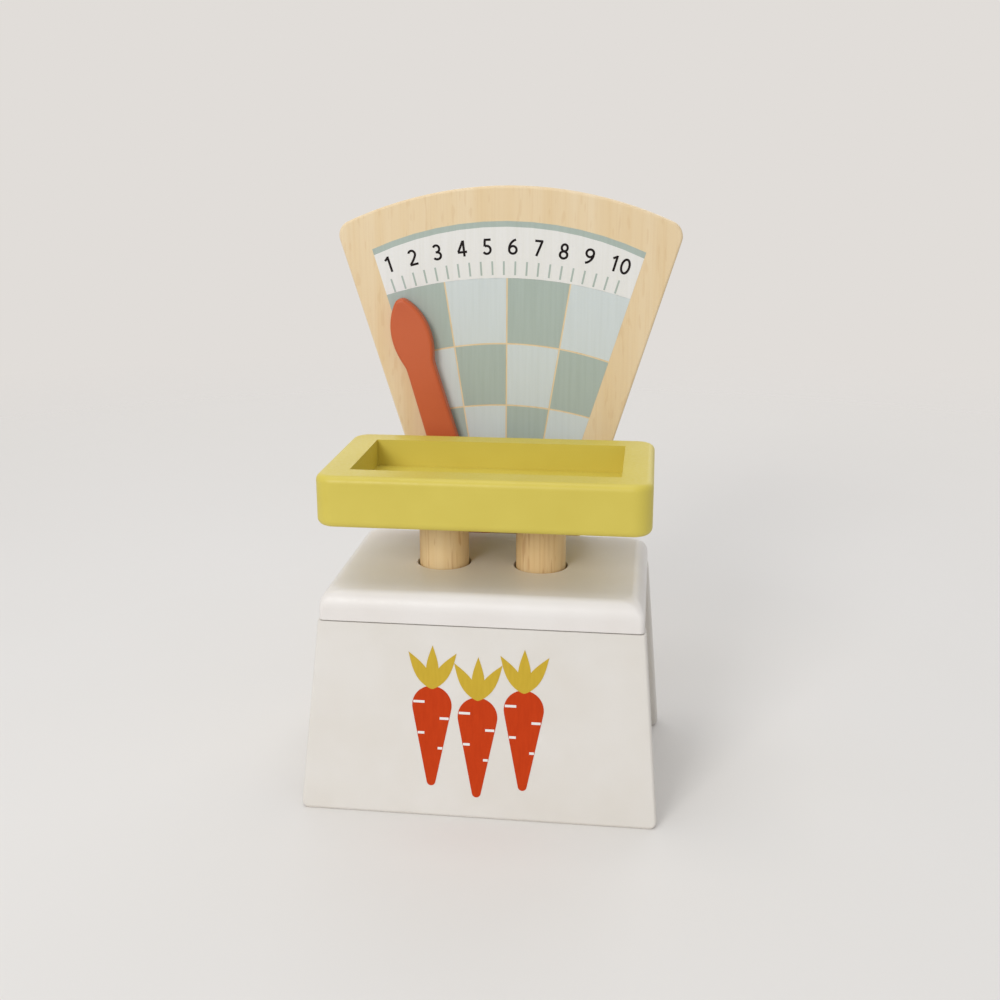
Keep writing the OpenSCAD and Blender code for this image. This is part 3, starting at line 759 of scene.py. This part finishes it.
def dial_checks():
    """Rows of checks in two colours, with a line of bare wood between them."""
    fields = {0: bmesh.new(), 1: bmesh.new()}
    half = CHECK_GAP / 2
    last_row, last_column = len(ROW_ARCS) - 2, len(COLUMNS) - 2
    for row in range(last_row + 1):
        for column in range(last_column + 1):
            gaps = (
                half if row > 0 else 0,
                half if row < last_row else 0,
                half if column > 0 else 0,
                half if column < last_column else 0,
            )
            add_field(
                fields[(row + column) % 2], ROW_ARCS[row], ROW_ARCS[row + 1],
                COLUMNS[column], COLUMNS[column + 1], gaps,
            )
    print_piece("dial_checks_dark", fields[0], PRINT_DARK)
    print_piece("dial_checks_light", fields[1], PRINT_LIGHT)


MARK_PROUD = PRINT_PROUD + 0.03 * MM
TICKS = 21
TICK_FIRST = math.radians(-18.63)
TICK_LAST = math.radians(17.57)
TICK_INNER = 141.6 * MM
TICK_OUTER = 147.0 * MM
TICK_HALF = 0.36 * MM


def dial_ticks():
    """Short lines along the scale, which point at its middle."""
    bm = bmesh.new()
    for i in range(TICKS):
        turn = TICK_FIRST + (TICK_LAST - TICK_FIRST) * i / (TICKS - 1)
        way = Vector((math.sin(turn), math.cos(turn)))
        ends = [Vector((0, SCALE_Z)) + way * reach for reach in (TICK_INNER, TICK_OUTER)]
        add_print(bm, *pen_edges(ends, TICK_HALF), on_board, MARK_PROUD)
    print_piece("dial_ticks", bm, PRINT_DARK)


NUMERAL_FIRST = math.radians(-18.21)
NUMERAL_STEP = math.radians(3.81)
NUMERAL_AT = 149.6 * MM
NUMERAL_H = 6.3 * MM
PEN_HALF_SHARE = 0.073
DIGIT_STEP_SHARE = 0.7
STROKE_LIFT = 0.006 * MM

# Lines of the six in shares of its height, from its foot and its middle
SIX_BOWL = oval((0, 0.3), (0.235, 0.235), 180, 540)[:-1]
SIX_BACK = [(0.19, 0.935), (0.06, 0.885), (-0.07, 0.78), (-0.17, 0.64), (-0.225, 0.48), (-0.235, 0.3)]


def half_turn(points):
    """The lines of a digit upside down."""
    return [(-x, 1 - y) for x, y in points]


# Strokes of each digit in the same shares, and whether each is a ring
DIGITS = {
    "0": [(oval((0, 0.5), (0.245, 0.434), 0, 360)[:-1], True)],
    "1": [([(0.06, 0), (0.06, 1)], False), ([(0.06, 0.93), (-0.17, 0.77)], False)],
    "2": [
        (oval((-0.02, 0.7), (0.215, 0.234), 155, -28) + [(0.05, 0.4), (-0.12, 0.2), (-0.24, 0.08)], False),
        ([(-0.27, 0.066), (0.27, 0.066)], False),
    ],
    "3": [
        (oval((-0.03, 0.72), (0.2, 0.214), 150, -85), False),
        ([(-0.1, 0.506), (0, 0.506)], False),
        (oval((-0.04, 0.283), (0.24, 0.217), 85, -150), False),
    ],
    "4": [
        ([(0.1, 0), (0.1, 1)], False),
        ([(0.08, 0.97), (-0.27, 0.3)], False),
        ([(-0.3, 0.28), (0.29, 0.28)], False),
    ],
    "5": [
        ([(0.22, 0.934), (-0.2, 0.934)], False),
        ([(-0.15, 0.96), (-0.18, 0.52)], False),
        (oval((-0.05, 0.312), (0.24, 0.246), 118, -148), False),
    ],
    "6": [(SIX_BOWL, True), (SIX_BACK, False)],
    "7": [([(-0.25, 0.934), (0.26, 0.934)], False), ([(0.21, 0.95), (-0.1, 0)], False)],
    "8": [
        (oval((0, 0.722), (0.185, 0.212), 0, 360)[:-1], True),
        (oval((0, 0.283), (0.23, 0.217), 0, 360)[:-1], True),
    ],
    "9": [(half_turn(SIX_BOWL), True), (half_turn(SIX_BACK), False)],
}


def dial_numerals():
    """The numbers from 1 to 10, each turned to stand on the scale."""
    bm = bmesh.new()
    for number in range(1, 11):
        turn = NUMERAL_FIRST + NUMERAL_STEP * (number - 1)
        up = Vector((math.sin(turn), math.cos(turn)))
        across = Vector((up.y, -up.x))
        foot = Vector((0, SCALE_Z)) + up * NUMERAL_AT
        for place, digit in enumerate(str(number)):
            middle = foot + across * place * DIGIT_STEP_SHARE * NUMERAL_H
            for layer, (points, ring) in enumerate(DIGITS[digit]):
                line = [middle + (across * x + up * y) * NUMERAL_H for x, y in points]
                edges = pen_edges(line, PEN_HALF_SHARE * NUMERAL_H, ring)
                add_print(bm, *edges, on_board, MARK_PROUD + layer * STROKE_LIFT, ring)
    print_piece("dial_numerals", bm, PRINT_BLACK)


dial_bands()
dial_checks()
dial_ticks()
dial_numerals()


# Picture on the front panel

FRONTWARD = -0.5


def front_face(node):
    """A corner and the outward direction of a CAD node's widest face towards the front."""
    mesh = frame["nodes"][node].data
    widest = max((face for face in mesh.polygons if face.normal.y < FRONTWARD), key=lambda face: face.area)
    return mesh.vertices[widest.vertices[0]].co.copy(), widest.normal.copy()


PANEL_CORNER, PANEL_OUT = front_face("front_panel")
PANEL_UP = PANEL_OUT.cross(Vector((1, 0, 0))).normalized()
PANEL_FOOT = PANEL_CORNER - PANEL_UP * PANEL_CORNER.z / PANEL_UP.z
PANEL_FOOT.x = 0

CARROTS = 3
CARROT_SPACING = 16.6 * MM
CARROT_LOW = 8 * MM
CARROT_LENGTH = 37 * MM
CARROT_TOP_R = 7.2 * MM
CARROT_TIP_R = 1.6 * MM
CARROT_DIP = 3.5 * MM
LEAF_LENGTH = 16 * MM
LEAF_HALF = 2.3 * MM
LEAF_TURNS = (-33, 0, 33)
LEAF_LEAN = 0.8
RIDGE_HALF = 0.45 * MM
RIDGE_END_SHARE = 0.96
# Height, side and length of each ridge on a carrot
RIDGE_SHARES = ((0.84, -1, 0.62), (0.68, 1, 0.55), (0.53, -1, 0.5), (0.38, 1, 0.45))
SHAPE_STEPS = 40


def on_panel(point, height):
    """A point counted along the front panel from the middle of its foot, at a height over its face."""
    return PANEL_FOOT + Vector((point[0], 0, 0)) + PANEL_UP * point[1] + PANEL_OUT * height


def carrot_half(height):
    """Half the width of a carrot at a height over its tip: two round ends, and straight flanks between."""
    low, high = CARROT_TIP_R, CARROT_LENGTH - CARROT_TOP_R
    sine = (CARROT_TOP_R - CARROT_TIP_R) / (high - low)
    cosine = math.sqrt(1 - sine ** 2)
    if height < low - CARROT_TIP_R * sine:
        return math.sqrt(max(CARROT_TIP_R ** 2 - (height - low) ** 2, 0))
    if height > high - CARROT_TOP_R * sine:
        return math.sqrt(max(CARROT_TOP_R ** 2 - (height - high) ** 2, 0))
    return (CARROT_TIP_R + (height - low) * sine) / cosine


def leaf_edges(root, turn):
    """Edges of a pointed leaf that grows from its root."""
    way = Vector((math.sin(turn), math.cos(turn)))
    side = Vector((way.y, -way.x))
    left, right = [], []
    for i in range(SHAPE_STEPS + 1):
        share = i / SHAPE_STEPS
        half = LEAF_HALF * math.sin(math.pi * share ** LEAF_LEAN)
        left.append(root + way * share * LEAF_LENGTH - side * half)
        right.append(root + way * share * LEAF_LENGTH + side * half)
    return left, right


def front_picture():
    """A row of carrots with leafy tops and pale ridges."""
    bodies, tops, ridges = bmesh.new(), bmesh.new(), bmesh.new()
    for i in range(CARROTS):
        beside = i - (CARROTS - 1) / 2
        tip = Vector((beside * CARROT_SPACING, CARROT_LOW + abs(beside) * CARROT_DIP))
        turns = [math.pi * k / SHAPE_STEPS for k in range(SHAPE_STEPS + 1)]
        heights = [CARROT_LENGTH * (1 - math.cos(turn)) / 2 for turn in turns]
        left = [tip + Vector((-carrot_half(height), height)) for height in heights]
        right = [tip + Vector((carrot_half(height), height)) for height in heights]
        add_print(bodies, left, right, on_panel)
        for layer, turn in enumerate(LEAF_TURNS):
            root = tip + Vector((0, CARROT_LENGTH - LEAF_HALF / 2))
            edges = leaf_edges(root, math.radians(turn))
            add_print(tops, *edges, on_panel, MARK_PROUD + layer * STROKE_LIFT)
        for up_share, side, reach_share in RIDGE_SHARES:
            height = up_share * CARROT_LENGTH
            half = carrot_half(height)
            shares = (1 - reach_share, RIDGE_END_SHARE)
            ends = [tip + Vector((side * half * share, height)) for share in shares]
            add_print(ridges, *pen_edges(ends, RIDGE_HALF), on_panel, MARK_PROUD)
    print_piece("front_carrots", bodies, PICTURE_RED)
    print_piece("front_carrot_tops", tops, PICTURE_OLIVE)
    print_piece("front_carrot_ridges", ridges, PRINT_WHITE)


front_picture()


# Stage: floor, world, lights and camera

BACKDROP = linear(225, 221, 217)
FLOOR = linear(228, 224, 220)
FLOOR_SHADE = linear(225, 221, 216)
FLOOR_CLOUDS = (6, 6, 6)
FLOOR_ROUGHNESS = 0.7
FLOOR_R = 3.0
FLOOR_SIDES = 96
FLOOR_FADE = (0.25, 1.0)


def floor():
    """A pale round floor that fades into the backdrop."""
    bm = bmesh.new()
    bmesh.ops.create_circle(bm, cap_ends=True, segments=FLOOR_SIDES, radius=FLOOR_R)
    mesh = bpy.data.meshes.new("floor")
    bm.to_mesh(mesh)
    bm.free()
    plane = bpy.data.objects.new("floor", mesh)
    bpy.context.scene.collection.objects.link(plane)
    finish = Finish("floor", FLOOR_ROUGHNESS)
    finish.feed("Base Color", finish.mix(finish.noise(FLOOR_CLOUDS), FLOOR, FLOOR_SHADE))
    distance = finish.tree.nodes.new("ShaderNodeVectorMath")
    distance.operation = "LENGTH"
    finish.tree.links.new(finish.place, distance.inputs[0])
    finish.feed("Alpha", finish.spread(distance.outputs["Value"], FLOOR_FADE, 1.0, 0.0))
    mesh.materials.append(finish.material)


WORLD_COLOUR = (0.965, 1.0, 1.045, 1.0)
WORLD_LIGHT = 0.53


def world():
    """Even pale light. What the camera and the gloss see of it is the backdrop."""
    made = bpy.data.worlds.new("studio")
    bpy.context.scene.world = made
    made.use_nodes = True
    tree = made.node_tree
    light = tree.nodes["Background"]
    light.inputs["Color"].default_value = WORLD_COLOUR
    light.inputs["Strength"].default_value = WORLD_LIGHT
    seen = tree.nodes.new("ShaderNodeBackground")
    seen.inputs["Color"].default_value = BACKDROP
    path = tree.nodes.new("ShaderNodeLightPath")
    either = path.outputs["Is Camera Ray"]
    for name in ("Is Glossy Ray", "Is Transmission Ray"):
        most = tree.nodes.new("ShaderNodeMath")
        most.operation = "MAXIMUM"
        tree.links.new(either, most.inputs[0])
        tree.links.new(path.outputs[name], most.inputs[1])
        either = most.outputs[0]
    mix = tree.nodes.new("ShaderNodeMixShader")
    tree.links.new(either, mix.inputs[0])
    tree.links.new(light.outputs[0], mix.inputs[1])
    tree.links.new(seen.outputs[0], mix.inputs[2])
    tree.links.new(mix.outputs[0], tree.nodes["World Output"].inputs["Surface"])


# Places and sizes in metres, power in watts
LIGHTS = {
    "key": {"place": (-0.5, -1.35, 0.75), "size": 0.5, "power": 10.3},
    "top": {"place": (-0.15, 0.0, 1.3), "size": 0.8, "power": 4.2},
    "back_left": {"place": (-0.55, 1.3, 0.75), "size": 0.9, "power": 1.9},
    "back_right": {"place": (0.5, 1.3, 0.8), "size": 0.9, "power": 2.8},
}
AIM = Vector((0, 0, 0.1))


def lights():
    """Square lamps that point at the middle of the scale and aren't seen themselves."""
    for name, light in LIGHTS.items():
        data = bpy.data.lights.new(name, "AREA")
        data.size = light["size"]
        data.energy = light["power"]
        lamp = bpy.data.objects.new(name, data)
        lamp.location = light["place"]
        lamp.visible_camera = False
        lamp.rotation_mode = "QUATERNION"
        lamp.rotation_quaternion = (AIM - lamp.location).to_track_quat("-Z", "Y")
        bpy.context.scene.collection.objects.link(lamp)


CAMERA_PLACE = Vector((0.05863, -0.46471, 0.23775))
CAMERA_YAW = 0.1389
CAMERA_PITCH = 0.2785
CAMERA_ROLL = -0.006
CAMERA_LENS = 46.0
CAMERA_SHIFT = (0.0222, 0.0013)


def camera():
    """The camera stands where the photograph was taken, a little to the right and above."""
    data = bpy.data.cameras.new("camera")
    data.lens = CAMERA_LENS
    data.shift_x, data.shift_y = CAMERA_SHIFT
    eye = bpy.data.objects.new("camera", data)
    ahead = Vector((
        -math.sin(CAMERA_YAW) * math.cos(CAMERA_PITCH),
        math.cos(CAMERA_YAW) * math.cos(CAMERA_PITCH),
        -math.sin(CAMERA_PITCH),
    ))
    level = Vector((math.cos(CAMERA_YAW), math.sin(CAMERA_YAW), 0))
    upright = level.cross(ahead)
    right = level * math.cos(CAMERA_ROLL) + upright * math.sin(CAMERA_ROLL)
    up = upright * math.cos(CAMERA_ROLL) - level * math.sin(CAMERA_ROLL)
    turned = Matrix((right, up, -ahead)).transposed().to_4x4()
    eye.matrix_world = Matrix.Translation(CAMERA_PLACE) @ turned
    bpy.context.scene.collection.objects.link(eye)
    bpy.context.scene.camera = eye


floor()
world()
lights()
camera()
bpy.context.scene.view_settings.view_transform = "Standard"
